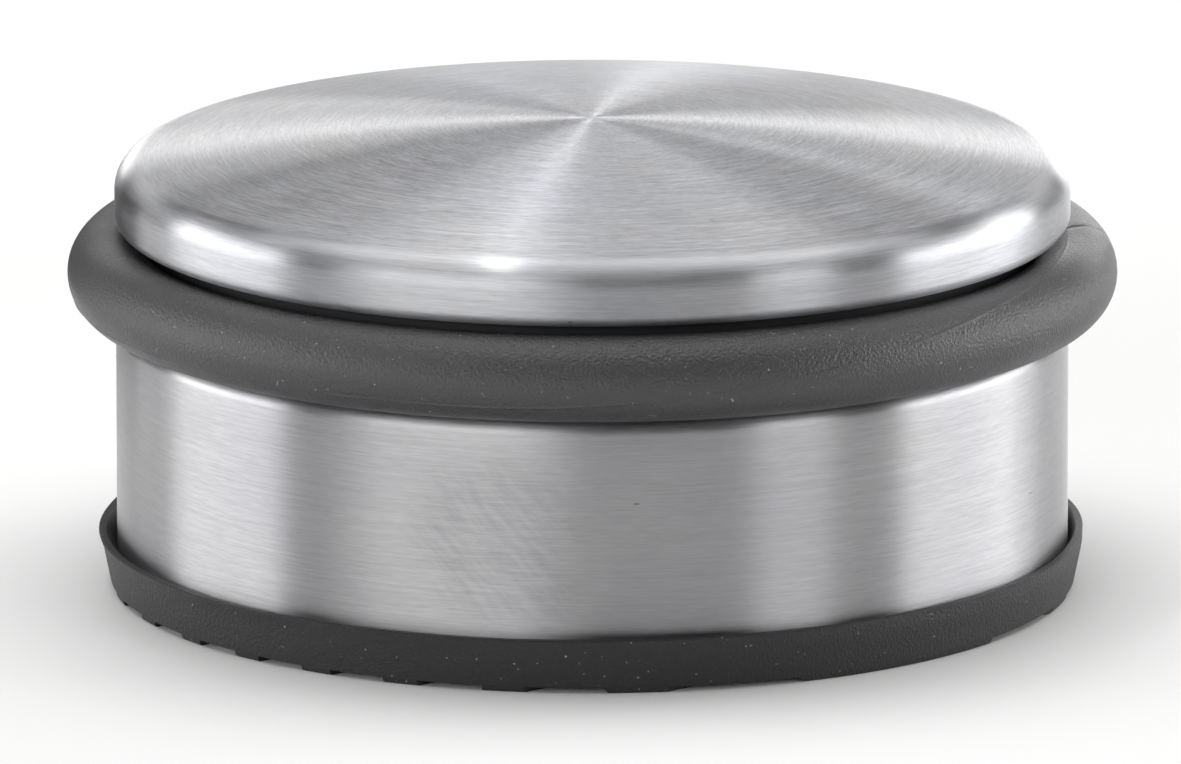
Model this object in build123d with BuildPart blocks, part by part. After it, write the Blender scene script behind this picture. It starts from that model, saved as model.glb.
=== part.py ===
from build123d import *
import math
import os

# Free-standing weighted door holder: a cast weight in a drawn steel sleeve, a rubber bumper ring
# in the groove under a domed steel cap, and a ribbed rubber cup underneath.
# Millimetres, +Z up. The origin is on the floor, on the axis that every piece is turned about.

# Sleeve radius, and heights from the floor up; the groove's height follows from the ring
body_radius = 45.4
sole_thickness = 3.0
adhesive_thickness = 0.2
body_height = 22.7
cap_height = 10.1

# Drawn steel sleeve
body_wall = 0.8
body_bend_radius = 0.6
body_mouth_radius = 18.2

# Drawn steel cap
cap_overhang = 0.1
cap_wall = 0.8
cap_corner_radius = 3.0
cap_edge_bend_radius = 0.3
cap_edge_width = 2.1
dome_radius = 246.0

# Bumper ring and the groove that it lies in
ring_section_radius = 4.1
ring_lower_gap = 0.25
ring_upper_gap = 0.55
groove_depth = 3.65
ring_running_clearance = 0.05

# Rubber cup
cup_height = 5.3
cup_lip_width = 0.8
cup_lip_gap = 0.8
cup_wall_flare = 1.0
cup_grip_height = 0.9
cup_edge_chamfer = 0.3
cup_lip_edge_radius = 0.12
tread_depth = 0.55
tread_pitch = 8.4
tread_bar_width = 3.1
tread_bar_offset = 4.0
tread_angle = -50.0

# Cast weight
weight_clearance = 0.3
weight_edge_chamfer = 1.0
weight_spigot_height = 2.5
adhesive_margin = 2.9

# Moulded spool and cap insert
spigot_clearance = 0.1
insert_clearance = 0.15
insert_spigot_radius = 16.0
insert_spigot_depth = 2.0
insert_edge_chamfer = 0.4
cored_hole_radius = 4.5
cored_hole_count = 12
spool_cored_floor = 2.5
insert_cored_cover = 2.2
spool_edge_chamfer = 0.4

# M8 clamp bolt, washers and nut
bolt_radius = 4.0
bolt_hole_clearance = 0.3
bolt_head_radius = 6.5
bolt_head_height = 8.0
bolt_head_recess = 2.1
bolt_tip_margin = 0.5
bolt_edge_chamfer = 0.6
socket_across_flats = 6.0
socket_depth = 4.0
washer_bore_clearance = 0.2
plain_washer_radius = 8.0
plain_washer_thickness = 1.6
spring_washer_radius = 7.4
spring_washer_thickness = 2.0
spring_washer_slit = 1.0
spring_washer_slit_angle = 35.0
counterbore_clearance = 1.0
nut_across_flats = 13.0
nut_height = 6.5
nut_cover = 0.25
nut_edge_chamfer = 0.5
nut_pocket_clearance = 0.1
thread_clearance = 0.05

# Heights worked out from the stack
body_bottom = sole_thickness + adhesive_thickness
body_top = body_bottom + body_height
groove_height = ring_lower_gap + 2 * ring_section_radius + ring_upper_gap
cap_bottom = body_top + groove_height
overall_height = cap_bottom + cap_height

# Radii worked out from the sleeve
body_bore_radius = body_radius - body_wall
weight_radius = body_bore_radius - weight_clearance
weight_spigot_radius = body_mouth_radius - spigot_clearance
adhesive_radius = body_radius - adhesive_margin
spool_radius = body_radius - groove_depth
ring_bore_radius = spool_radius + ring_running_clearance
ring_centre_radius = ring_bore_radius + ring_section_radius
ring_centre_height = body_top + ring_lower_gap + ring_section_radius
cap_radius = body_radius + cap_overhang
cap_mouth_radius = cap_radius - cap_edge_width
cup_lip_radius = body_radius + cup_lip_gap + cup_lip_width
cup_bottom_radius = cup_lip_radius - cup_wall_flare
bolt_hole_radius = bolt_radius + bolt_hole_clearance
counterbore_radius = plain_washer_radius + counterbore_clearance
cored_hole_circle_radius = (body_mouth_radius + spool_radius) / 2

# The nut sits just under the cap, and the bolt reaches from its recess in the weight up to it
nut_top = overall_height - cap_wall - insert_clearance - nut_cover
nut_bottom = nut_top - nut_height
bolt_head_bottom = body_bottom + bolt_head_recess
bolt_head_top = bolt_head_bottom + bolt_head_height
spring_washer_top = bolt_head_top + spring_washer_thickness
plain_washer_top = spring_washer_top + plain_washer_thickness
bolt_tip = nut_top - bolt_tip_margin

# The dome meets the cap's corner where both arcs share a tangent
corner_centre_radius = cap_radius - cap_corner_radius
dome_centre_height = overall_height - dome_radius
dome_lean = math.degrees(math.asin(corner_centre_radius / (dome_radius - cap_corner_radius)))
corner_rise = math.sqrt((dome_radius - cap_corner_radius) ** 2 - corner_centre_radius**2)
corner_centre_height = dome_centre_height + corner_rise

# The insert's cored holes stop short of the dome above them
insert_inset = cap_wall + insert_clearance
cored_hole_reach = cored_hole_circle_radius + cored_hole_radius
insert_dome_rise = math.sqrt((dome_radius - insert_inset) ** 2 - cored_hole_reach**2)
insert_cored_top = dome_centre_height + insert_dome_rise - insert_cored_cover


def dome_profile(inset, bottom):
    """Half section of the domed cap moved inward by inset, closed by a flat bottom."""
    radius = cap_radius - inset
    crown = overall_height - inset
    corner_centre = (corner_centre_radius, corner_centre_height)
    with BuildSketch(Plane.XZ) as profile:
        with BuildLine():
            Line((0, crown), (0, bottom))
            Line((0, bottom), (radius, bottom))
            Line((radius, bottom), (radius, corner_centre_height))
            CenterArc(corner_centre, cap_corner_radius - inset, 0, 90 - dome_lean)
            CenterArc((0, dome_centre_height), dome_radius - inset, 90 - dome_lean, dome_lean)
        make_face()
    return profile.sketch


def disc(radius, bottom, top):
    """A solid disc about the axis, between two heights."""
    with BuildPart() as piece:
        with BuildSketch(Plane.XY.offset(bottom)):
            Circle(radius)
        extrude(amount=top - bottom)
    return piece.part


# Rubber cup: a flared wall round the foot of the sleeve, and straight tread bars underneath
tread_plane = Plane.XY.rotated((0, 0, tread_angle))
tread_groove_width = tread_pitch - tread_bar_width
tread_groove_reach = math.ceil(cup_lip_radius / tread_pitch) + 1
tread_groove_centres = [
    (tread_bar_offset + (step + 0.5) * tread_pitch, 0)
    for step in range(-tread_groove_reach, tread_groove_reach)
]
with BuildPart() as sole_cup:
    with BuildSketch(Plane.XZ) as cup_section:
        with BuildLine():
            Polyline(
                (0, 0),
                (cup_bottom_radius, 0),
                (cup_lip_radius, cup_height),
                (cup_lip_radius - cup_lip_width, cup_height),
                (body_radius, sole_thickness + cup_grip_height),
                (body_radius, sole_thickness),
                (0, sole_thickness),
                close=True,
            )
        make_face()
    revolve(axis=Axis.Z)
    chamfer(edges().group_by(Axis.Z)[0], cup_edge_chamfer)
    fillet(edges().group_by(Axis.Z)[-1], cup_lip_edge_radius)
    with BuildSketch(tread_plane) as tread_grooves:
        with Locations(tread_groove_centres):
            Rectangle(tread_groove_width, 2 * cup_lip_radius)
    extrude(amount=tread_depth, mode=Mode.SUBTRACT)
sole_cup.part.label = "sole_cup"

# Adhesive disc that bonds the cup to the weight, open round the bolt's recess
with BuildPart() as sole_adhesive:
    with BuildSketch(Plane.XY.offset(sole_thickness)):
        Circle(adhesive_radius)
        Circle(counterbore_radius, mode=Mode.SUBTRACT)
    extrude(amount=adhesive_thickness)
sole_adhesive.part.label = "sole_adhesive"

# Drawn sleeve: open below, its top turned in over the weight
with BuildPart() as sleeve_bore:
    add(disc(body_bore_radius, body_bottom, body_top - body_wall))
    fillet(edges().group_by(Axis.Z)[-1], body_bend_radius)
with BuildPart() as body_sleeve:
    add(disc(body_radius, body_bottom, body_top))
    fillet(edges().group_by(Axis.Z)[-1], body_bend_radius + body_wall)
    add(sleeve_bore.part, mode=Mode.SUBTRACT)
    add(disc(body_mouth_radius, body_bottom, body_top), mode=Mode.SUBTRACT)
body_sleeve.part.label = "body_sleeve"

# Cast weight: its spigot centres the sleeve and the spool, its underside takes the bolt's head
with BuildPart() as cast_weight:
    add(disc(weight_radius, body_bottom, body_top - body_wall))
    chamfer(edges().group_by(Axis.Z)[0], weight_edge_chamfer)
    chamfer(edges().group_by(Axis.Z)[-1], weight_edge_chamfer)
    add(disc(weight_spigot_radius, body_bottom, body_top + weight_spigot_height))
    chamfer(edges().group_by(Axis.Z)[-1], spool_edge_chamfer)
    add(disc(bolt_hole_radius, body_bottom, overall_height), mode=Mode.SUBTRACT)
    add(disc(counterbore_radius, body_bottom, plain_washer_top), mode=Mode.SUBTRACT)
cast_weight.part.label = "cast_weight"

# Moulded spool: the floor of the groove, with a recess for the spigot at each end
spool_lower_recess = body_top + weight_spigot_height + spigot_clearance
spool_upper_recess = cap_bottom - insert_spigot_depth - spigot_clearance
with BuildPart() as groove_spool:
    add(disc(spool_radius, body_top, cap_bottom))
    chamfer(edges(), spool_edge_chamfer)
    add(disc(body_mouth_radius, body_top, spool_lower_recess), mode=Mode.SUBTRACT)
    add(
        disc(insert_spigot_radius + spigot_clearance, spool_upper_recess, cap_bottom),
        mode=Mode.SUBTRACT,
    )
    add(disc(bolt_hole_radius, body_top, cap_bottom), mode=Mode.SUBTRACT)
    with BuildSketch(Plane.XY.offset(cap_bottom)) as spool_cored_holes:
        with PolarLocations(cored_hole_circle_radius, cored_hole_count):
            Circle(cored_hole_radius)
    extrude(amount=spool_cored_floor - groove_height, mode=Mode.SUBTRACT)
groove_spool.part.label = "groove_spool"

# Bumper ring: a round-section rubber ring, free to turn in the groove
with BuildPart() as bumper_ring:
    with BuildSketch(Plane.XZ) as ring_section:
        with Locations((ring_centre_radius, ring_centre_height)):
            Circle(ring_section_radius)
    revolve(axis=Axis.Z)
bumper_ring.part.label = "bumper_ring"

# Drawn cap: domed top, rounded corner, lower edge turned in under the insert
with BuildPart() as cap_bore:
    revolve(profiles=dome_profile(cap_wall, cap_bottom + cap_wall), axis=Axis.Z)
    fillet(edges().group_by(Axis.Z)[0], cap_edge_bend_radius)
with BuildPart() as top_cap:
    revolve(profiles=dome_profile(0, cap_bottom), axis=Axis.Z)
    fillet(edges().group_by(Axis.Z)[0], cap_edge_bend_radius + cap_wall)
    add(cap_bore.part, mode=Mode.SUBTRACT)
    add(disc(cap_mouth_radius, cap_bottom, cap_bottom + cap_wall), mode=Mode.SUBTRACT)
top_cap.part.label = "top_cap"

# Moulded insert: fills the cap, holds the nut, and stands on the spool through the cap's mouth
with BuildPart() as cap_insert:
    revolve(profiles=dome_profile(insert_inset, cap_bottom + cap_wall), axis=Axis.Z)
    chamfer(edges().group_by(Axis.Z)[0], insert_edge_chamfer)
    add(disc(cap_mouth_radius - insert_clearance, cap_bottom, cap_bottom + cap_wall))
    add(disc(insert_spigot_radius, cap_bottom - insert_spigot_depth, cap_bottom))
    add(disc(bolt_hole_radius, cap_bottom - insert_spigot_depth, nut_bottom), mode=Mode.SUBTRACT)
    with BuildSketch(Plane.XY.offset(nut_bottom)) as nut_pocket:
        RegularPolygon(nut_across_flats / 2 + nut_pocket_clearance, 6, major_radius=False)
    extrude(amount=overall_height - nut_bottom, mode=Mode.SUBTRACT)
    with BuildSketch(Plane.XY.offset(cap_bottom)) as insert_cored_holes:
        with PolarLocations(cored_hole_circle_radius, cored_hole_count):
            Circle(cored_hole_radius)
    extrude(amount=insert_cored_top - cap_bottom, mode=Mode.SUBTRACT)
cap_insert.part.label = "cap_insert"

# Socket-head bolt, from its recess in the weight up into the nut
with BuildPart() as clamp_bolt:
    add(disc(bolt_head_radius, bolt_head_bottom, bolt_head_top))
    chamfer(edges().group_by(Axis.Z)[0], bolt_edge_chamfer)
    add(disc(bolt_radius, bolt_head_bottom, bolt_tip))
    chamfer(edges().group_by(Axis.Z)[-1], bolt_edge_chamfer)
    with BuildSketch(Plane.XY.offset(bolt_head_bottom)) as hex_socket:
        RegularPolygon(socket_across_flats / 2, 6, major_radius=False)
    extrude(amount=socket_depth, mode=Mode.SUBTRACT)
clamp_bolt.part.label = "clamp_bolt"

# Split spring washer, pressed flat under the bolt's head
slit_plane = Plane.XY.rotated((0, 0, spring_washer_slit_angle)).offset(bolt_head_top)
with BuildPart() as spring_washer:
    with BuildSketch(Plane.XY.offset(bolt_head_top)):
        Circle(spring_washer_radius)
        Circle(bolt_radius + washer_bore_clearance, mode=Mode.SUBTRACT)
    extrude(amount=spring_washer_thickness)
    with BuildSketch(slit_plane) as slit:
        with Locations((spring_washer_radius / 2, 0)):
            Rectangle(spring_washer_radius + spring_washer_slit, spring_washer_slit)
    extrude(amount=spring_washer_thickness, mode=Mode.SUBTRACT)
spring_washer.part.label = "spring_washer"

# Plain washer between the spring washer and the weight
with BuildPart() as plain_washer:
    with BuildSketch(Plane.XY.offset(spring_washer_top)):
        Circle(plain_washer_radius)
        Circle(bolt_radius + washer_bore_clearance, mode=Mode.SUBTRACT)
    extrude(amount=plain_washer_thickness)
plain_washer.part.label = "plain_washer"

# Hexagon nut, held from turning in the insert's pocket
with BuildPart() as captive_nut:
    with BuildSketch(Plane.XY.offset(nut_bottom)) as nut_outline:
        RegularPolygon(nut_across_flats / 2, 6, major_radius=False)
    extrude(amount=nut_height)
    add(disc(bolt_radius + thread_clearance, nut_bottom, nut_top), mode=Mode.SUBTRACT)
    chamfer(edges().filter_by(GeomType.CIRCLE), nut_edge_chamfer)
captive_nut.part.label = "captive_nut"

pieces = [
    sole_cup,
    sole_adhesive,
    body_sleeve,
    cast_weight,
    groove_spool,
    bumper_ring,
    top_cap,
    cap_insert,
    clamp_bolt,
    spring_washer,
    plain_washer,
    captive_nut,
]
os.makedirs("parts", exist_ok=True)
for piece in pieces:
    export_step(piece.part, f"parts/{piece.part.label}.step")

print(f"overall height {overall_height:.2f}")
print(f"ring outer diameter {2 * (ring_centre_radius + ring_section_radius):.2f}")
print(f"bolt length {bolt_tip - bolt_head_top:.2f}")
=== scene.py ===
import math

import bmesh
import bpy
from bpy.props import FloatProperty, FloatVectorProperty, IntProperty, PointerProperty
from mathutils import Matrix, Vector, noise


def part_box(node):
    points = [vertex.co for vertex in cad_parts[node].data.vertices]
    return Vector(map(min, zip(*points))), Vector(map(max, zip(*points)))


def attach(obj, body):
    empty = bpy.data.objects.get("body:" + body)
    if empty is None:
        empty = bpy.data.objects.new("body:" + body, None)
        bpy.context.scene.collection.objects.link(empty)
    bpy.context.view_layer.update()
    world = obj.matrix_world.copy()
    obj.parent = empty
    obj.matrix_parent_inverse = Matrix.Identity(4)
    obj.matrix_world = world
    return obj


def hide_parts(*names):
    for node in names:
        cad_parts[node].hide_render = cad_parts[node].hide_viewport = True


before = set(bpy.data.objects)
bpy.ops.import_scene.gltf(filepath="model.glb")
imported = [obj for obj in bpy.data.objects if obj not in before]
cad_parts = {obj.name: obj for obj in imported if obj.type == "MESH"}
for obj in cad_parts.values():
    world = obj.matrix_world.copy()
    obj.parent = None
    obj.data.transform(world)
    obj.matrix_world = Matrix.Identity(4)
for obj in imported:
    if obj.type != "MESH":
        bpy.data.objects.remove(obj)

bl_info = {
    "name": "Weighted Door Holder",
    "version": (1, 0, 0),
    "blender": (4, 5, 0),
    "location": "3D View > Sidebar > Door Holder",
    "description": "Turned steel and rubber pieces, finishes and a studio for a floor door holder",
    "category": "Object",
}

MM = 0.001
WEDGES = 20  # in a full turn of a turned piece
MERGE_DISTANCE = 1e-7
SHARP_EDGE = math.radians(32)
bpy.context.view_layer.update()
STACK_BODY = "weighted_stack"
RING_BODY = "bumper"

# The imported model's own sizes, in metres
CAP_LOW, CAP_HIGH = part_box("top_cap")
SLEEVE_LOW, SLEEVE_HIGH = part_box("body_sleeve")
RING_LOW, RING_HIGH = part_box("bumper_ring")
_, CUP_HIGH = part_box("sole_cup")
ADHESIVE_LOW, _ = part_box("sole_adhesive")


# ---------------------------------------------------------------- sizes and colours

class HolderSizes(bpy.types.PropertyGroup):
    """Sizes of the turned pieces that their boxes don't give"""

    steel_wall: FloatProperty(
        name="Steel wall", description="Thickness of the drawn cap and sleeve",
        default=0.8 * MM, subtype="DISTANCE", unit="LENGTH",
    )
    cap_corner: FloatProperty(
        name="Cap corner", description="Outer radius between the dome and the skirt",
        default=3.0 * MM, subtype="DISTANCE", unit="LENGTH",
    )
    cap_edge_bend: FloatProperty(
        name="Cap edge bend", description="Outer radius where the skirt's lower edge turns in",
        default=1.1 * MM, subtype="DISTANCE", unit="LENGTH",
    )
    cap_edge_width: FloatProperty(
        name="Cap edge width", description="How far the turned-in edge reaches under the cap",
        default=2.1 * MM, subtype="DISTANCE", unit="LENGTH",
    )
    dome_radius: FloatProperty(
        name="Dome radius", description="Radius of the shallow dome",
        default=246.0 * MM, subtype="DISTANCE", unit="LENGTH",
    )
    sleeve_bend: FloatProperty(
        name="Sleeve bend", description="Outer radius of the sleeve's upper edge",
        default=1.4 * MM, subtype="DISTANCE", unit="LENGTH",
    )
    sleeve_mouth: FloatProperty(
        name="Sleeve mouth", description="Radius of the opening in the sleeve's top",
        default=18.2 * MM, subtype="DISTANCE", unit="LENGTH",
    )
    lip_width: FloatProperty(
        name="Lip width", description="Width of the cup's lip, seen from above",
        default=0.8 * MM, subtype="DISTANCE", unit="LENGTH",
    )
    wall_flare: FloatProperty(
        name="Wall flare", description="How far the cup's wall leans out from floor to lip",
        default=1.0 * MM, subtype="DISTANCE", unit="LENGTH",
    )
    cup_grip: FloatProperty(
        name="Cup grip", description="Height over which the cup grips the sleeve",
        default=0.9 * MM, subtype="DISTANCE", unit="LENGTH",
    )
    tread_depth: FloatProperty(
        name="Tread depth", description="Height of the bars under the cup",
        default=0.55 * MM, subtype="DISTANCE", unit="LENGTH",
    )
    tread_pitch: FloatProperty(
        name="Tread pitch", description="Distance from bar to bar",
        default=8.4 * MM, subtype="DISTANCE", unit="LENGTH",
    )
    tread_bar: FloatProperty(
        name="Tread bar", description="Width of a bar",
        default=3.1 * MM, subtype="DISTANCE", unit="LENGTH",
    )
    tread_offset: FloatProperty(
        name="Tread offset", description="Middle of the bar nearest the centre",
        default=4.0 * MM, subtype="DISTANCE", unit="LENGTH",
    )
    tread_angle: FloatProperty(
        name="Tread angle", description="Direction square to the bars",
        default=math.radians(-50), subtype="ANGLE", unit="ROTATION",
    )
    seam_height: FloatProperty(
        name="Mould line height", description="How far the ring's mould line stands out",
        default=0.09 * MM, subtype="DISTANCE", unit="LENGTH",
    )
    seam_low: FloatProperty(
        name="Mould line low", description="Where the mould line runs on the ring's lower stretch",
        default=math.radians(-33), subtype="ANGLE", unit="ROTATION",
    )
    seam_high: FloatProperty(
        name="Mould line high", description="Where the mould line runs at its highest",
        default=math.radians(104), subtype="ANGLE", unit="ROTATION",
    )
    turning_steps: IntProperty(
        name="Turning steps", description="Facets round each turned piece", default=360, min=24,
    )


class HolderColours(bpy.types.PropertyGroup):
    """Base colours of the finishes"""

    cap_steel: FloatVectorProperty(
        name="Cap steel", description="Stainless steel of the cap",
        default=(0.475, 0.477, 0.490), subtype="COLOR", size=3,
    )
    sleeve_steel: FloatVectorProperty(
        name="Sleeve steel", description="Stainless steel of the sleeve",
        default=(0.438, 0.435, 0.441), subtype="COLOR", size=3,
    )
    ring_rubber: FloatVectorProperty(
        name="Ring rubber", description="Charcoal rubber of the bumper ring",
        default=(0.0068, 0.0067, 0.0080), subtype="COLOR", size=3,
    )
    cup_rubber: FloatVectorProperty(
        name="Cup rubber", description="Black rubber of the foot cup",
        default=(0.0075, 0.0074, 0.0086), subtype="COLOR", size=3,
    )
    floor: FloatVectorProperty(
        name="Floor", description="Pale studio floor",
        default=(0.96, 0.96, 0.96), subtype="COLOR", size=3,
    )


# ---------------------------------------------------------------- turning and finishing pieces

def run_to(bm, vert, radius, height, parts=1):
    """Draws a straight run of the half section from vert to a radius and a height."""
    start, end = vert.co.copy(), Vector((radius, 0, height))
    for part in range(1, parts + 1):
        vert = bmesh.ops.extrude_vert_indiv(bm, verts=[vert])["verts"][0]
        vert.co = start.lerp(end, part / parts)
    return vert


def swing(bm, vert, radius, height, angle, parts):
    """Draws an arc of the half section about a centre; a positive angle turns from up to out."""
    made = bmesh.ops.spin(
        bm, geom=[vert], cent=(radius, 0, height), axis=(0, 1, 0), dvec=(0, 0, 0),
        angle=angle, steps=parts, use_merge=False, use_duplicate=False,
    )
    return made["geom_last"][0]


def turn(bm, steps):
    """Spins the half section round Z, one wedge and then its copies, and closes seams and poles."""
    bmesh.ops.spin(
        bm, geom=bm.verts[:] + bm.edges[:], cent=(0, 0, 0), axis=(0, 0, 1), dvec=(0, 0, 0),
        angle=math.tau / WEDGES, steps=steps // WEDGES, use_merge=False, use_duplicate=False,
    )
    bmesh.ops.spin(
        bm, geom=bm.verts[:] + bm.edges[:] + bm.faces[:], cent=(0, 0, 0), axis=(0, 0, 1), dvec=(0, 0, 0),
        angle=math.tau * (WEDGES - 1) / WEDGES, steps=WEDGES - 1, use_merge=False, use_duplicate=True,
    )
    bmesh.ops.remove_doubles(bm, verts=bm.verts, dist=MERGE_DISTANCE)
    bmesh.ops.recalc_face_normals(bm, faces=bm.faces)


def finished_object(name, bm, sharp_angle=SHARP_EDGE):
    """Makes an object of the mesh, smooth except across sharp edges."""
    mesh = bpy.data.meshes.new(name)
    bm.to_mesh(mesh)
    bm.free()
    mesh.shade_smooth()
    mesh.set_sharp_from_angle(angle=sharp_angle)
    piece = bpy.data.objects.new(name, mesh)
    bpy.context.scene.collection.objects.link(piece)
    return piece


def dress(piece, material, slot, body, *nodes):
    """Gives a piece its finish and its slot, and puts it on its body in place of its CAD nodes; the slot
    argument is not used.
    """
    piece.data.materials.append(material)
    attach(piece, body)
    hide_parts(*nodes)


# ---------------------------------------------------------------- finishes

class Nodes:
    """A node tree, written one node at a time from its inputs to its outputs."""

    def __init__(self, tree):
        self.tree = tree

    def set(self, node, socket, value):
        """Links a node's output into a socket, or sets the socket to a plain value."""
        if isinstance(value, bpy.types.NodeSocket):
            self.tree.links.new(value, node.inputs[socket])
        else:
            node.inputs[socket].default_value = value

    def node(self, kind, output=0, settings=None, **sockets):
        """Adds a node with its settings and inputs, by name or as i0, i1, ..., and returns an output."""
        made = self.tree.nodes.new(kind)
        for key, value in (settings or {}).items():
            setattr(made, key, value)
        for key, value in sockets.items():
            self.set(made, int(key[1:]) if key[1:].isdigit() else key.replace("_", " "), value)
        return made.outputs[output]

    def math(self, operation, first, second=0.0, third=0.0):
        return self.node(
            "ShaderNodeMath", settings={"operation": operation}, i0=first, i1=second, i2=third
        )

    def between(self, value, low, high, out_low=0.0, out_high=1.0, soft=False):
        kind = {"interpolation_type": "SMOOTHSTEP"} if soft else {}
        return self.node(
            "ShaderNodeMapRange", settings=kind, i0=value, i1=low, i2=high, i3=out_low, i4=out_high
        )


class Finish(Nodes):
    """A material with one glossy surface and the patterns that vary it."""

    def __init__(self, name, colour, roughness, metallic=0.0):
        self.material = bpy.data.materials.new(name)
        self.material.use_nodes = True
        super().__init__(self.material.node_tree)
        self.surface = self.tree.nodes["Principled BSDF"]
        self.coat(Base_Color=(*colour, 1), Roughness=roughness, Metallic=metallic)

    def coat(self, **sockets):
        """Sets or links sockets of the glossy surface by name."""
        for key, value in sockets.items():
            self.set(self.surface, key.replace("_", " "), value)

    def place(self):
        return self.node("ShaderNodeTexCoord", "Object")

    def combed(self, vector, turned, scale):
        """Turns a pattern's space first and stretches it afterwards, so its grain runs at a slant."""
        slanted = self.node("ShaderNodeMapping", Vector=vector, Rotation=turned)
        return self.node("ShaderNodeMapping", Vector=slanted, Scale=scale)

    def noise(self, vector, scale, detail=2.0, roughness=0.5):
        return self.node(
            "ShaderNodeTexNoise", "Fac", Vector=vector, Scale=scale, Detail=detail, Roughness=roughness
        )

    def cells(self, vector, scale):
        """Distance to the nearest point of a random lattice, and two lots drawn for that point."""
        lattice = self.tree.nodes.new("ShaderNodeTexVoronoi")
        self.set(lattice, "Vector", vector)
        self.set(lattice, "Scale", scale)
        lots = self.tree.nodes.new("ShaderNodeSeparateColor")
        self.set(lots, "Color", lattice.outputs["Color"])
        return lattice.outputs["Distance"], lots.outputs["Red"], lots.outputs["Green"]

    def mix_colour(self, factor, first, second):
        """Mixes two colours; the node's colour inputs are 6 and 7 and its colour output is 2."""
        return self.node(
            "ShaderNodeMix", 2, {"data_type": "RGBA"}, Factor=factor, i6=first, i7=second
        )

    def bump(self, height, strength, distance, normal=None):
        made = self.tree.nodes.new("ShaderNodeBump")
        self.set(made, "Height", height)
        self.set(made, "Strength", strength)
        self.set(made, "Distance", distance)
        if normal is not None:
            self.set(made, "Normal", normal)
        return made.outputs[0]

    def round_z(self):
        """Radius, height, and the cosine and sine of the angle about Z, for patterns that go round."""
        split = self.tree.nodes.new("ShaderNodeSeparateXYZ")
        self.set(split, "Vector", self.place())
        x, y, z = split.outputs
        squares = self.math("ADD", self.math("MULTIPLY", x, x), self.math("MULTIPLY", y, y))
        radius = self.math("SQRT", squares)
        safe = self.math("MAXIMUM", radius, 0.01 * MM)
        return radius, z, self.math("DIVIDE", x, safe), self.math("DIVIDE", y, safe)

    def strokes(self, across, cosine, sine, spacing, reach, detail=2.0):
        """Brush strokes that run round Z: fine across them, and as long as reach allows along them."""
        vector = self.node(
            "ShaderNodeCombineXYZ",
            X=self.math("MULTIPLY", cosine, reach),
            Y=self.math("MULTIPLY", sine, reach),
            Z=self.math("DIVIDE", across, spacing),
        )
        return self.noise(vector, 1.0, detail)

    def across_strokes(self, cosine, sine):
        """Direction in the surface square to strokes that run round Z."""
        along = self.node("ShaderNodeCombineXYZ", X=self.math("MULTIPLY", sine, -1.0), Y=cosine)
        geometry = self.node("ShaderNodeNewGeometry", "Normal")
        return self.node(
            "ShaderNodeVectorMath", settings={"operation": "CROSS_PRODUCT"}, i0=along, i1=geometry
        )


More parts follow.
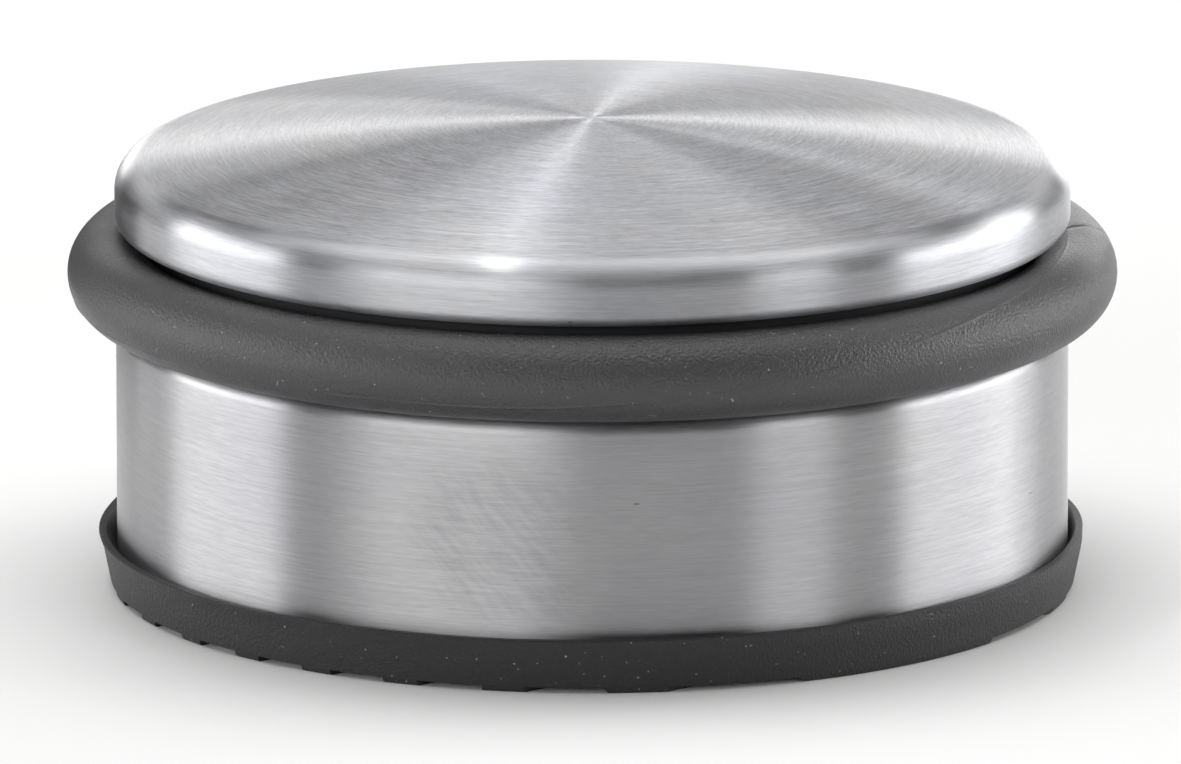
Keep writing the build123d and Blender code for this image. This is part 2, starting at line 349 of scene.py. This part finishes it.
def brushed_steel(name, colour, strokes, ticks, marks, handled):
    """Stainless steel brushed round Z, with a calmer rim, a painted highlight at the centre, nicks and
    handling marks.
    """
    finish = Finish(name, colour, 0.35, metallic=1.0)
    radius, height, cosine, sine = finish.round_z()
    across = finish.math("SUBTRACT", radius, height)
    fine = finish.strokes(across, cosine, sine, spacing=0.1 * MM, reach=26.0, detail=1.0)
    medium = finish.strokes(across, cosine, sine, spacing=0.17 * MM, reach=6.0, detail=1.0)
    coarse = finish.strokes(across, cosine, sine, spacing=0.38 * MM, reach=4.0, detail=1.0)
    broad = finish.strokes(across, cosine, sine, spacing=1.3 * MM, reach=1.4, detail=3.0)
    place = finish.place()

    # A thin film all over, and a patch with slanting wipe marks where it was handled
    film = finish.noise(place, 48.0, detail=4.0, roughness=0.6)
    near = finish.node("ShaderNodeVectorMath", "Value", {"operation": "DISTANCE"}, i0=place, i1=handled)
    edge = finish.math("MULTIPLY_ADD", finish.noise(place, 130.0, detail=4.0), 12.0 * MM, near)
    patch = finish.between(edge, 9.0 * MM, 17.0 * MM, 1.0, 0.0, soft=True)
    wipe = finish.combed(place, (0.0, 0.75, 0.0), (1700.0, 300.0, 260.0))
    wiped = finish.math("MULTIPLY", patch, finish.between(finish.noise(wipe, 1.0, 3.0), 0.35, 0.65))

    # Strokes are fainter and the surface smoother this far out: on the cap's rim and the sleeve's wall
    inside_rim = CAP_HIGH.x - 3.0 * MM
    on_rim = CAP_HIGH.x - 1.6 * MM
    calm = finish.between(radius, inside_rim, on_rim, 1.0, 0.45, soft=True)
    smoother = finish.between(radius, inside_rim, on_rim, 1.0, 0.8, soft=True)

    # Uneven tone: narrow strokes vary it most, broad ones a little, and marks darken it
    tone = finish.between(fine, 0.35, 0.65, -strokes, strokes)
    tone = finish.math("ADD", tone, finish.between(medium, 0.35, 0.65, -strokes, strokes))
    tone = finish.math("ADD", tone, finish.between(coarse, 0.3, 0.7, -0.4 * strokes, 0.4 * strokes))
    tone = finish.math("ADD", tone, finish.between(broad, 0.3, 0.7, -0.2 * strokes, 0.2 * strokes))
    tone = finish.math("MULTIPLY_ADD", tone, calm, 1.0)
    tone = finish.math("SUBTRACT", tone, finish.math("MULTIPLY", wiped, marks))
    tone = finish.math("SUBTRACT", tone, finish.math("MULTIPLY", patch, 0.5 * marks))

    # Small dark nicks that lie along the strokes
    ground = finish.node(
        "ShaderNodeCombineXYZ", X=finish.math("MULTIPLY", cosine, 22.0),
        Y=finish.math("MULTIPLY", sine, 22.0), Z=finish.math("DIVIDE", across, 0.5 * MM),
    )
    distance, lot, _ = finish.cells(ground, 1.0)
    nick = finish.math(
        "MULTIPLY", finish.between(distance, 0.12, 0.2, 1.0, 0.0),
        finish.math("GREATER_THAN", lot, 1.0 - ticks),
    )
    tone = finish.math("MULTIPLY", tone, finish.between(nick, 0.0, 1.0, 1.0, 0.45))

    # Painted highlight in the middle of the cap: the base colour is lightened to stand in for the
    # brighter reflection of the flat, unbrushed spot there
    painted_centre_highlight = finish.between(radius, 1.9 * MM, 2.8 * MM, 1.2, 1.0, soft=True)
    tone = finish.math("MULTIPLY", tone, painted_centre_highlight)

    # The film turns the steel's own colour a little cooler
    warm = (*colour, 1)
    cool = (colour[0] * 0.965, colour[1] * 0.975, colour[2] * 1.01, 1)
    tint = finish.mix_colour(finish.between(film, 0.35, 0.65), warm, cool)
    rough = finish.math(
        "ADD", finish.between(medium, 0.3, 0.7, 0.38, 0.44), finish.between(film, 0.4, 0.7, 0.0, 0.03)
    )
    rough = finish.math("ADD", rough, finish.math("MULTIPLY", patch, 0.03))
    grooves = finish.math("ADD", fine, finish.math("MULTIPLY", medium, 1.6))
    grooves = finish.math("MULTIPLY", grooves, calm)
    grooves = finish.math("SUBTRACT", grooves, finish.math("MULTIPLY", nick, 2.0))
    finish.coat(
        Base_Color=finish.node(
            "ShaderNodeVectorMath", settings={"operation": "SCALE"}, i0=tint, i3=tone
        ),
        Roughness=finish.math("MULTIPLY", rough, smoother),
        Anisotropic=0.98,
        Tangent=finish.across_strokes(cosine, sine),
        Normal=finish.bump(grooves, 0.35, 0.012 * MM),
    )
    return finish.material


def dusty_rubber(name, colour, roughness, shine, grain, grain_depth, dust):
    """Moulded rubber: fine pebbled grain, uneven bloom, specks of dust and a few stuck fibres."""
    finish = Finish(name, colour, roughness)
    place = finish.place()
    pebbles = finish.noise(place, 1 / grain, detail=3.0, roughness=0.55)
    ripple = finish.noise(place, 420.0, detail=2.0)
    bloom = finish.noise(place, 75.0, detail=4.0, roughness=0.62)

    def spots(vector, scale, size, share):
        """Small soft spots in a share of the cells of a random lattice."""
        distance, lot, other_lot = finish.cells(vector, scale)
        spot = finish.between(distance, 0.6 * size, size, 1.0, 0.0)
        chosen = finish.math("GREATER_THAN", lot, 1.0 - share)
        faint = finish.between(other_lot, 0.0, 1.0, 0.25, 1.0)
        return finish.math("MULTIPLY", finish.math("MULTIPLY", spot, chosen), faint)

    # Fibres lie in two directions, and bend by up to this much
    bend = 0.6 * MM
    bent = finish.node(
        "ShaderNodeVectorMath", settings={"operation": "MULTIPLY_ADD"},
        i0=finish.node("ShaderNodeTexNoise", "Color", Vector=place, Scale=700.0, Detail=1.0),
        i1=(bend, bend, bend), i2=place,
    )
    fibre_shape = (1500.0, 190.0, 1500.0)
    fibre_lines = finish.combed(bent, (0.7, 0.4, 1.1), fibre_shape)
    other_lines = finish.combed(bent, (0.2, 1.3, -0.6), fibre_shape)
    fibres = finish.math(
        "MAXIMUM", spots(fibre_lines, 1.0, 0.1, 0.6 * dust), spots(other_lines, 1.0, 0.1, 0.6 * dust)
    )
    specks = spots(place, 900.0, 0.11, 0.6 * dust)
    coarse = spots(place, 330.0, 0.055, 0.5 * dust)
    dusted = finish.math("MAXIMUM", finish.math("MAXIMUM", specks, coarse), fibres)

    # Bloom and grain vary the rubber's colour, and dust lies over it
    bloom_tone = finish.between(bloom, 0.3, 0.7, 0.82, 1.22)
    grain_tone = finish.between(pebbles, 0.3, 0.7, 0.6, 1.4)
    worn = finish.node(
        "ShaderNodeVectorMath", settings={"operation": "SCALE"},
        i0=tuple(colour), i3=finish.math("MULTIPLY", bloom_tone, grain_tone),
    )
    dust_colour = (0.42, 0.41, 0.39, 1)
    rough = finish.between(bloom, 0.3, 0.7, roughness - 0.05, roughness + 0.05)
    skin = finish.bump(ripple, 0.6, 0.05 * MM)
    finish.coat(
        Base_Color=finish.mix_colour(finish.math("MULTIPLY", dusted, 0.85), worn, dust_colour),
        Roughness=finish.math("ADD", rough, finish.math("MULTIPLY", dusted, 0.3)),
        Specular_IOR_Level=shine,
        Normal=finish.bump(pebbles, 0.6, grain_depth, skin),
    )
    return finish.material


def rough_casting():
    """Grey cast iron with a sand-cast skin."""
    finish = Finish("rough_casting", (0.09, 0.09, 0.095), 0.6, metallic=1.0)
    place = finish.place()
    sand = finish.noise(place, 900.0, detail=5.0, roughness=0.65)
    patches = finish.noise(place, 60.0, detail=3.0)
    finish.coat(
        Base_Color=finish.mix_colour(patches, (0.07, 0.068, 0.066, 1), (0.14, 0.135, 0.13, 1)),
        Roughness=finish.between(sand, 0.3, 0.7, 0.5, 0.75),
        Normal=finish.bump(sand, 0.8, 0.15 * MM),
    )
    return finish.material


def moulded_nylon():
    """Black moulded nylon with a fine spark-eroded texture."""
    finish = Finish("moulded_nylon", (0.018, 0.018, 0.018), 0.5)
    place = finish.place()
    texture = finish.noise(place, 2500.0, detail=2.0)
    flow = finish.noise(place, 120.0, detail=3.0)
    finish.coat(
        Base_Color=finish.mix_colour(flow, (0.014, 0.014, 0.014, 1), (0.026, 0.026, 0.027, 1)),
        Roughness=finish.between(texture, 0.3, 0.7, 0.42, 0.6),
        Normal=finish.bump(texture, 0.4, 0.03 * MM),
    )
    return finish.material


def zinc_plate():
    """Bright zinc plating with a faint blue cast."""
    finish = Finish("zinc_plate", (0.56, 0.58, 0.61), 0.32, metallic=1.0)
    place = finish.place()
    haze = finish.noise(place, 300.0, detail=3.0)
    finish.coat(
        Base_Color=finish.mix_colour(haze, (0.5, 0.52, 0.56, 1), (0.63, 0.64, 0.66, 1)),
        Roughness=finish.between(haze, 0.3, 0.7, 0.25, 0.42),
    )
    return finish.material


def adhesive_film():
    """Yellowish adhesive film with trapped streaks."""
    finish = Finish("adhesive_film", (0.6, 0.57, 0.46), 0.45)
    streaks = finish.noise(finish.place(), 200.0, detail=4.0)
    finish.coat(Base_Color=finish.mix_colour(streaks, (0.5, 0.47, 0.37, 1), (0.68, 0.65, 0.54, 1)))
    return finish.material


# ---------------------------------------------------------------- pieces

class HOLDER_OT_top_cap(bpy.types.Operator):
    """Turn the domed cap with its rounded corner and turned-in edge"""

    bl_idname = "holder.top_cap"
    bl_label = "Top Cap"

    def execute(self, context):
        sizes = context.scene.holder_sizes
        outer, bottom, top = CAP_HIGH.x, CAP_LOW.z, CAP_HIGH.z
        wall, corner, bend = sizes.steel_wall, sizes.cap_corner, sizes.cap_edge_bend
        corner_radius = outer - corner
        dome_centre = top - sizes.dome_radius
        reach = sizes.dome_radius - corner
        lean = math.asin(corner_radius / reach)
        corner_height = dome_centre + reach * math.cos(lean)
        mouth = outer - sizes.cap_edge_width

        bm = bmesh.new()
        vert = bm.verts.new((0, 0, top))
        vert = swing(bm, vert, 0, dome_centre, lean, 30)
        vert = swing(bm, vert, corner_radius, corner_height, math.pi / 2 - lean, 12)
        vert = run_to(bm, vert, outer, bottom + bend, 3)
        vert = swing(bm, vert, outer - bend, bottom + bend, math.pi / 2, 8)
        vert = run_to(bm, vert, mouth, bottom)
        vert = run_to(bm, vert, mouth, bottom + wall)
        vert = run_to(bm, vert, outer - bend, bottom + wall)
        vert = swing(bm, vert, outer - bend, bottom + bend, -math.pi / 2, 3)
        vert = run_to(bm, vert, outer - wall, corner_height)
        vert = swing(bm, vert, corner_radius, corner_height, lean - math.pi / 2, 6)
        swing(bm, vert, 0, dome_centre, -lean, 10)
        turn(bm, sizes.turning_steps)
        piece = finished_object("cap_shell", bm)
        steel = brushed_steel(
            "cap_steel", context.scene.holder_colours.cap_steel, strokes=0.15, ticks=0.004, marks=0.04,
            handled=(22.0 * MM, 12.0 * MM, CAP_HIGH.z),
        )
        dress(piece, steel, "cap_steel", STACK_BODY, "top_cap")
        return {"FINISHED"}


class HOLDER_OT_body_sleeve(bpy.types.Operator):
    """Turn the steel sleeve with its turned-in top"""

    bl_idname = "holder.body_sleeve"
    bl_label = "Body Sleeve"

    def execute(self, context):
        sizes = context.scene.holder_sizes
        outer, bottom, top = SLEEVE_HIGH.x, SLEEVE_LOW.z, SLEEVE_HIGH.z
        wall, bend = sizes.steel_wall, sizes.sleeve_bend

        bm = bmesh.new()
        first = bm.verts.new((sizes.sleeve_mouth, 0, top))
        vert = run_to(bm, first, outer - bend, top, 4)
        vert = swing(bm, vert, outer - bend, top - bend, math.pi / 2, 8)
        vert = run_to(bm, vert, outer, bottom, 8)
        vert = run_to(bm, vert, outer - wall, bottom)
        vert = run_to(bm, vert, outer - wall, top - bend, 4)
        vert = swing(bm, vert, outer - bend, top - bend, -math.pi / 2, 4)
        vert = run_to(bm, vert, sizes.sleeve_mouth, top - wall, 2)
        bm.edges.new((vert, first))
        turn(bm, sizes.turning_steps)
        piece = finished_object("sleeve_shell", bm)
        steel = brushed_steel(
            "sleeve_steel", context.scene.holder_colours.sleeve_steel, strokes=0.12, ticks=0.0015,
            marks=0.12, handled=(-9.0 * MM, -44.0 * MM, 14.0 * MM),
        )
        dress(piece, steel, "sleeve_steel", STACK_BODY, "body_sleeve")
        return {"FINISHED"}


def ease(value, start, end):
    """Smooth step from 0 at start to 1 at end."""
    share = min(max((value - start) / (end - start), 0.0), 1.0)
    return share * share * (3 - 2 * share)


def seam_course(azimuth, low, high):
    """Where the ring's mould line lies round its section at an azimuth counted from the front."""
    climb_start, climb_end = math.radians(-15), math.radians(100)
    fall_start, fall_end = math.radians(110), math.radians(290)
    if climb_start <= azimuth <= climb_end:
        share = ease(azimuth, climb_start, climb_end)
    else:
        share = 1.0 - ease(azimuth % math.tau, fall_start, fall_end)
    return low + (high - low) * share


class HOLDER_OT_bumper_ring(bpy.types.Operator):
    """Spin the rubber ring, twist its section along the mould line and raise that line"""

    bl_idname = "holder.bumper_ring"
    bl_label = "Bumper Ring"

    section_points: IntProperty(
        name="Section points", description="Points round the ring's section", default=72, min=12,
    )
    crowding: FloatProperty(
        name="Crowding", description="How far section points crowd towards the mould line",
        default=0.86, min=0.0, max=0.95,
    )

    def execute(self, context):
        sizes = context.scene.holder_sizes
        section = (RING_HIGH.z - RING_LOW.z) / 2
        centre = RING_HIGH.x - section
        level = (RING_HIGH.z + RING_LOW.z) / 2
        ridge_spread = math.radians(1.6)
        # The joint across the ring: its azimuth, its slant, and how deep and wide it is
        splice, slant = math.radians(92.5), math.radians(4)
        splice_depth, splice_width = 0.07 * MM, 0.35 * MM

        bm = bmesh.new()
        bmesh.ops.create_circle(
            bm, cap_ends=False, radius=section, segments=self.section_points,
            matrix=Matrix.Translation((centre, 0, level)) @ Matrix.Rotation(math.pi / 2, 4, "X"),
        )
        turn(bm, 2 * sizes.turning_steps)
        for vert in bm.verts:
            round_z = math.atan2(vert.co.x, -vert.co.y)
            round_section = math.atan2(vert.co.z - level, math.hypot(vert.co.x, vert.co.y) - centre)
            from_seam = round_section - self.crowding * math.sin(round_section)
            angle = from_seam + seam_course(round_z, sizes.seam_low, sizes.seam_high)
            ridge = sizes.seam_height * math.exp(-((from_seam / ridge_spread) ** 2))
            around = Vector((math.cos(round_z) * 9, math.sin(round_z) * 9, 3.7))
            uneven = 0.6 + 0.8 * noise.noise(around)
            from_joint = abs(round_z - splice + slant * (angle - 1.0)) * centre
            joint = splice_depth * math.exp(-((from_joint / splice_width) ** 2))
            reach = section + ridge * uneven - joint
            out = centre + reach * math.cos(angle)
            vert.co = (
                out * math.sin(round_z), -out * math.cos(round_z), level + reach * math.sin(angle)
            )
        bmesh.ops.recalc_face_normals(bm, faces=bm.faces)
        piece = finished_object("ring_rubber", bm, sharp_angle=math.radians(80))
        rubber = dusty_rubber(
            "ring_rubber", context.scene.holder_colours.ring_rubber, 0.38, 0.95,
            grain=0.28 * MM, grain_depth=0.3 * MM, dust=0.5,
        )
        dress(piece, rubber, "ring_rubber", RING_BODY, "bumper_ring")
        return {"FINISHED"}


class HOLDER_OT_sole_cup(bpy.types.Operator):
    """Turn the rubber cup, cut its tread and let its lip wander a little"""

    bl_idname = "holder.sole_cup"
    bl_label = "Sole Cup"

    def execute(self, context):
        sizes = context.scene.holder_sizes
        sleeve, floor_top, top = SLEEVE_HIGH.x, ADHESIVE_LOW.z, CUP_HIGH.z
        lip_inner = sleeve + sizes.lip_width
        lip_outer = lip_inner + sizes.lip_width
        foot = lip_outer - sizes.wall_flare
        round_edge = 0.3 * MM
        round_lip = 0.14 * MM

        bm = bmesh.new()
        vert = bm.verts.new((0, 0, 0))
        vert = run_to(bm, vert, foot - round_edge, 0, 4)
        vert = swing(bm, vert, foot - round_edge, round_edge, -math.radians(78), 5)
        vert = run_to(bm, vert, lip_outer, top - round_lip, 10)
        vert = run_to(bm, vert, lip_outer - round_lip, top)
        vert = run_to(bm, vert, lip_inner + round_lip, top)
        vert = run_to(bm, vert, lip_inner, top - round_lip)
        vert = run_to(bm, vert, sleeve, floor_top + sizes.cup_grip, 4)
        vert = run_to(bm, vert, sleeve, floor_top, 2)
        run_to(bm, vert, 0, floor_top, 4)
        turn(bm, sizes.turning_steps)
        loosen_lip(bm, foot, floor_top + sizes.cup_grip, top)
        piece = finished_object("foot_cup", bm)
        cut_tread(piece, sizes, foot)
        rubber = dusty_rubber(
            "cup_rubber", context.scene.holder_colours.cup_rubber, 0.5, 0.6,
            grain=0.28 * MM, grain_depth=0.24 * MM, dust=0.5,
        )
        dress(piece, rubber, "cup_rubber", STACK_BODY, "sole_cup")
        return {"FINISHED"}


def loosen_lip(bm, foot, grip, top):
    """Lets the soft lip stand a little to one side and wander, as rubber does where nothing holds it."""
    broad_wander, fine_wander, height_wander = 0.16 * MM, 0.05 * MM, 0.12 * MM
    to_one_side = Vector((-0.2 * MM, 0, 0))
    for vert in bm.verts:
        flat = math.hypot(vert.co.x, vert.co.y)
        if flat < foot - 1.0 * MM or vert.co.z < grip:
            continue
        free = ease(vert.co.z, grip, top)
        around = Vector((vert.co.x, vert.co.y, 0)) / flat
        wander = broad_wander * noise.noise(around * 2.2 + Vector((5.1, 1.7, 0.3)))
        wander += fine_wander * noise.noise(around * 9.0 + Vector((0.4, 8.2, 2.9)))
        vert.co += free * (around * wander + to_one_side)
        vert.co.z += free * height_wander * noise.noise(around * 3.1 + Vector((2.4, 3.3, 7.7)))


def cut_tread(piece, sizes, reach):
    """Cuts the straight grooves between the tread bars out of the cup's underside."""
    groove = sizes.tread_pitch - sizes.tread_bar
    count = math.ceil(reach / sizes.tread_pitch) + 1
    bm = bmesh.new()
    for step in range(-count, count):
        middle = sizes.tread_offset + (step + 0.5) * sizes.tread_pitch
        bmesh.ops.create_cube(
            bm, size=1.0,
            matrix=Matrix.Rotation(sizes.tread_angle, 4, "Z")
            @ Matrix.Translation((middle, 0, 0))
            @ Matrix.Diagonal((groove, 3 * reach, 2 * sizes.tread_depth, 1)),
        )
    cutter = finished_object("tread_cutter", bm)
    cut = piece.modifiers.new("Tread", "BOOLEAN")
    cut.operation = "DIFFERENCE"
    cut.solver = "EXACT"
    cut.object = cutter
    depsgraph = bpy.context.evaluated_depsgraph_get()
    mesh = bpy.data.meshes.new_from_object(piece.evaluated_get(depsgraph))
    piece.modifiers.remove(cut)
    piece.data = mesh
    mesh.name = piece.name
    bpy.data.objects.remove(cutter)
    mesh.set_sharp_from_angle(angle=SHARP_EDGE)


class HOLDER_OT_inner_pieces(bpy.types.Operator):
    """Give the pieces inside the stack their finishes"""

    bl_idname = "holder.inner_pieces"
    bl_label = "Inner Pieces"

    def execute(self, context):
        plate = zinc_plate()
        nylon = moulded_nylon()
        finishes = {
            "cast_weight": rough_casting(),
            "groove_spool": nylon,
            "cap_insert": nylon,
            "sole_adhesive": adhesive_film(),
            "clamp_bolt": plate,
            "spring_washer": plate,
            "plain_washer": plate,
            "captive_nut": plate,
        }
        for node, material in finishes.items():
            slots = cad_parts[node].material_slots
            if not slots:
                raise RuntimeError(f"{node} has no material slot")
            for slot in slots:
                slot.material = material
        return {"FINISHED"}


# ---------------------------------------------------------------- stage

def add_floor(colour):
    """A wide pale floor."""
    bm = bmesh.new()
    bmesh.ops.create_grid(bm, x_segments=1, y_segments=1, size=8.0)
    floor = finished_object("studio_floor", bm)
    finish = Finish("studio_floor", colour, 0.7)
    grain = finish.noise(finish.place(), 4.0, detail=3.0)
    finish.set(finish.surface, "Roughness", finish.between(grain, 0.3, 0.7, 0.65, 0.8))
    floor.data.materials.append(finish.material)


class Sky(Nodes):
    """A dim world with soft-edged glowing panels; azimuths count from the front towards the right."""

    def __init__(self, name, glow):
        world = bpy.data.worlds.new(name)
        world.use_nodes = True
        bpy.context.scene.world = world
        super().__init__(world.node_tree)
        split = self.tree.nodes.new("ShaderNodeSeparateXYZ")
        self.set(split, "Vector", self.node("ShaderNodeTexCoord", "Generated"))
        side, depth, height = split.outputs
        self.azimuth = self.math("ARCTAN2", side, self.math("MULTIPLY", depth, -1.0))
        self.elevation = self.math("ARCSINE", height)
        self.glow = glow

    def panel(self, azimuth, half_width, low, high, strength, side_fade=6.0, top_fade=6.0):
        """Adds a panel, all angles in degrees; each edge fades in over twice its fade."""
        foot_fade = math.radians(2)
        azimuth, half_width, low, high, side_fade, top_fade = map(
            math.radians, (azimuth, half_width, low, high, side_fade, top_fade)
        )
        away = self.math("WRAP", self.math("SUBTRACT", self.azimuth, azimuth), math.pi, -math.pi)
        away = self.math("ABSOLUTE", away)
        across = self.between(away, half_width - side_fade, half_width + side_fade, 1.0, 0.0, soft=True)
        upper = self.between(self.elevation, high - top_fade, high + top_fade, 1.0, 0.0, soft=True)
        lower = self.between(self.elevation, low - foot_fade, low + foot_fade, 0.0, 1.0, soft=True)
        mask = self.math("MULTIPLY", across, self.math("MULTIPLY", upper, lower))
        self.glow = self.math("MULTIPLY_ADD", mask, strength, self.glow)

    def finish(self, tint):
        self.set(self.tree.nodes["Background"], "Color", (*tint, 1))
        self.set(self.tree.nodes["Background"], "Strength", self.glow)


def add_strip_lamp(name, place, heading, width, length, power):
    """A narrow soft lamp that faces the holder, its length along an azimuth counted from the front."""
    light = bpy.data.lights.new(name, "AREA")
    light.shape = "RECTANGLE"
    light.size = width
    light.size_y = length
    light.energy = power
    lamp = bpy.data.objects.new(name, light)
    away = Vector(place).normalized()
    side = Vector((math.sin(heading), -math.cos(heading), 0)).cross(away).normalized()
    lamp.location = place
    lamp.rotation_euler = Matrix((side, away.cross(side), away)).transposed().to_euler()
    lamp.visible_camera = False
    bpy.context.scene.collection.objects.link(lamp)


def add_flag(name, azimuth, distance, width, height):
    """A dark card on the floor that only reflections see, to deepen an edge of the steel."""
    bm = bmesh.new()
    bmesh.ops.create_grid(
        bm, x_segments=1, y_segments=1, size=0.5,
        matrix=Matrix.Rotation(azimuth, 4, "Z")
        @ Matrix.Translation((0, -distance, height / 2))
        @ Matrix.Rotation(math.pi / 2, 4, "X")
        @ Matrix.Diagonal((width, height, 1, 1)),
    )
    flag = finished_object(name, bm)
    flag.data.materials.append(Finish(name, (0.03, 0.03, 0.03), 0.9).material)
    flag.visible_camera = False
    flag.visible_diffuse = False
    flag.visible_shadow = False


class HOLDER_OT_studio(bpy.types.Operator):
    """Set up the floor, the soft lamps, the world and the long-lens camera"""

    bl_idname = "holder.studio"
    bl_label = "Studio"

    camera_distance: FloatProperty(
        name="Camera distance", description="From the camera to the holder",
        default=2.02, unit="LENGTH",
    )
    camera_elevation: FloatProperty(
        name="Camera elevation", description="Angle above the floor",
        default=math.radians(13.2), subtype="ANGLE", unit="ROTATION",
    )
    view_width: FloatProperty(
        name="View width", description="Width of the view at the holder",
        default=112.65 * MM, unit="LENGTH",
    )
    aim_height: FloatProperty(
        name="Aim height", description="Height that the camera looks at",
        default=19.15 * MM, unit="LENGTH",
    )
    aim_side: FloatProperty(
        name="Aim side", description="How far to the side the camera looks",
        default=-0.18 * MM, unit="LENGTH",
    )

    def execute(self, context):
        scene = context.scene
        add_floor(scene.holder_colours.floor)
        # The strip lamp draws the bright streak across the dome
        add_strip_lamp(
            "overhead_strip", (-0.227, 0.045, 1.2), math.radians(-11.2),
            width=20 * MM, length=800 * MM, power=1.0,
        )
        add_flag("left_flag", math.radians(-150), distance=150 * MM, width=140 * MM, height=46 * MM)

        sky = Sky("studio_sky", 0.05)
        # Two side boxes: the bright bands on the sleeve and the wedges left and right on the dome
        for side in (-100, 100):
            sky.panel(side, 20, 2, 20, 5.6, side_fade=4, top_fade=4)
        # A low box behind lights the far half of the dome, and a taller dim one its middle
        sky.panel(180, 18, -3, 6, 7.5, side_fade=4, top_fade=2)
        sky.panel(180, 75, 12, 24, 1.0, side_fade=12, top_fade=4)
        # Boxes at the left front, wide, and the right front, narrow, grade the sleeve between its bands
        sky.panel(-35, 25, 8, 22, 5.0, side_fade=12, top_fade=4)
        sky.panel(50, 10, 8, 22, 4.0, side_fade=4, top_fade=4)
        # A box at the right rear picks out the ring
        sky.panel(125, 8, 4, 24, 5.0, side_fade=4, top_fade=8)
        # Soft light from above, more of it from behind; the second panel is all round, dimmest behind
        sky.panel(180, 90, 45, 90, 1.3, side_fade=25, top_fade=15)
        sky.panel(0, 181, 55, 91, 0.9, top_fade=1)
        sky.finish((1.0, 0.995, 0.99))

        camera = bpy.data.cameras.new("long_lens")
        camera.lens = camera.sensor_width * self.camera_distance / self.view_width
        camera.clip_end = 50.0
        viewer = bpy.data.objects.new("long_lens", camera)
        aim = Vector((self.aim_side, 0, self.aim_height))
        back = Vector((0, -math.cos(self.camera_elevation), math.sin(self.camera_elevation)))
        viewer.location = aim + back * self.camera_distance
        viewer.rotation_euler = (-back).to_track_quat("-Z", "Y").to_euler()
        scene.collection.objects.link(viewer)
        scene.camera = viewer
        scene.view_settings.view_transform = "Standard"
        return {"FINISHED"}


# ---------------------------------------------------------------- panel and registration

PIECE_OPERATORS = (
    HOLDER_OT_top_cap,
    HOLDER_OT_body_sleeve,
    HOLDER_OT_bumper_ring,
    HOLDER_OT_sole_cup,
    HOLDER_OT_inner_pieces,
    HOLDER_OT_studio,
)


class HOLDER_PT_panel(bpy.types.Panel):
    """Sizes, colours and pieces of the door holder"""

    bl_idname = "HOLDER_PT_panel"
    bl_label = "Door Holder"
    bl_space_type = "VIEW_3D"
    bl_region_type = "UI"
    bl_category = "Door Holder"

    def draw(self, context):
        layout = self.layout
        for group in (context.scene.holder_sizes, context.scene.holder_colours):
            for name in group.__annotations__:
                layout.prop(group, name)
        for operator in PIECE_OPERATORS:
            layout.operator(operator.bl_idname)


CLASSES = (HolderSizes, HolderColours, *PIECE_OPERATORS, HOLDER_PT_panel)


def register():
    for cls in CLASSES:
        bpy.utils.register_class(cls)
    bpy.types.Scene.holder_sizes = PointerProperty(type=HolderSizes)
    bpy.types.Scene.holder_colours = PointerProperty(type=HolderColours)


def unregister():
    del bpy.types.Scene.holder_colours
    del bpy.types.Scene.holder_sizes
    for cls in reversed(CLASSES):
        bpy.utils.unregister_class(cls)


def main():
    register()
    bpy.ops.holder.studio()
    bpy.ops.holder.top_cap()
    bpy.ops.holder.body_sleeve()
    bpy.ops.holder.bumper_ring()
    bpy.ops.holder.sole_cup()
    bpy.ops.holder.inner_pieces()


if __name__ == "__main__":
    main()
